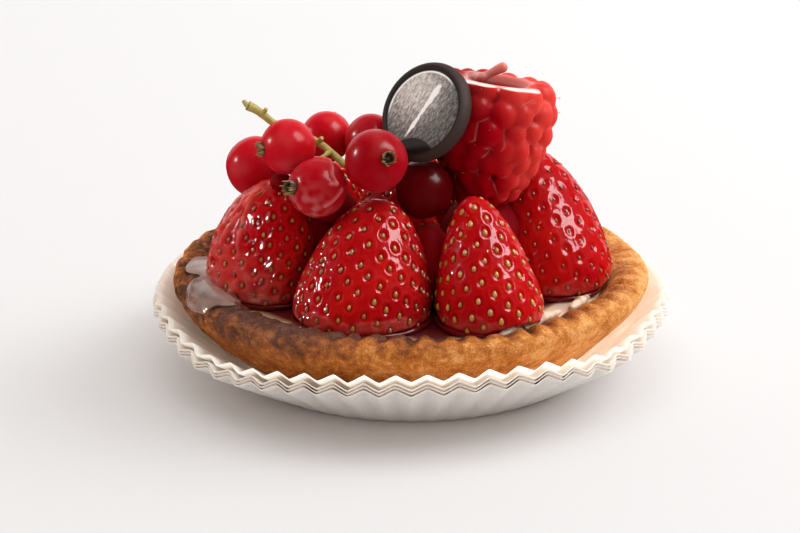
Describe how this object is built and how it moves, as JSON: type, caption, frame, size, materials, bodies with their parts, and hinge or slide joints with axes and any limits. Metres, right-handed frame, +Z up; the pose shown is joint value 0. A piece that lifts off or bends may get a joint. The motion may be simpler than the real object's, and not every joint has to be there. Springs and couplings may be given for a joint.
{
  "type": "strawberry tartlet",
  "caption": "Round shortcrust tartlet with a crimped rim, cream, whole glazed strawberries, redcurrants, an upturned raspberry and a chocolate disc, in fluted paper cases.",
  "frame": {"origin": "centre of the paper case's flat underside", "axes": "+Z up from the surface it stands on, -Y towards the side the picture shows"},
  "size_m": [0.0918, 0.0919, 0.0561],
  "materials": {
    "paper_case": "fluted thin white baking paper, matt, slightly see-through",
    "crust": "golden-brown baked shortcrust, finely pitted",
    "cream": "set cream with a thin glaze",
    "strawberry": "glazed ripe strawberry",
    "currant": "clear glossy berry",
    "currant_stem": "dull green-yellow stalk",
    "raspberry": "moist soft fruit",
    "chocolate_disc": "dark chocolate with a brushed silver face"
  },
  "bodies": {
    "root": {"paper_case_1": "paper_case", "paper_case_2": "paper_case", "paper_case_3": "paper_case", "paper_case_4": "paper_case", "crust": "crust", "cream": "cream", "strawberry_1": "strawberry", "strawberry_2": "strawberry", "strawberry_3": "strawberry", "strawberry_4": "strawberry", "strawberry_5": "strawberry", "strawberry_6": "strawberry", "strawberry_7": "strawberry", "strawberry_8": "strawberry", "currant_1": "currant", "currant_2": "currant", "currant_3": "currant", "currant_4": "currant", "currant_5": "currant", "currant_6": "currant", "currant_7": "currant", "currant_stem": "currant_stem", "raspberry": "raspberry", "chocolate_disc": "chocolate_disc"}
  },
  "joints": []
}
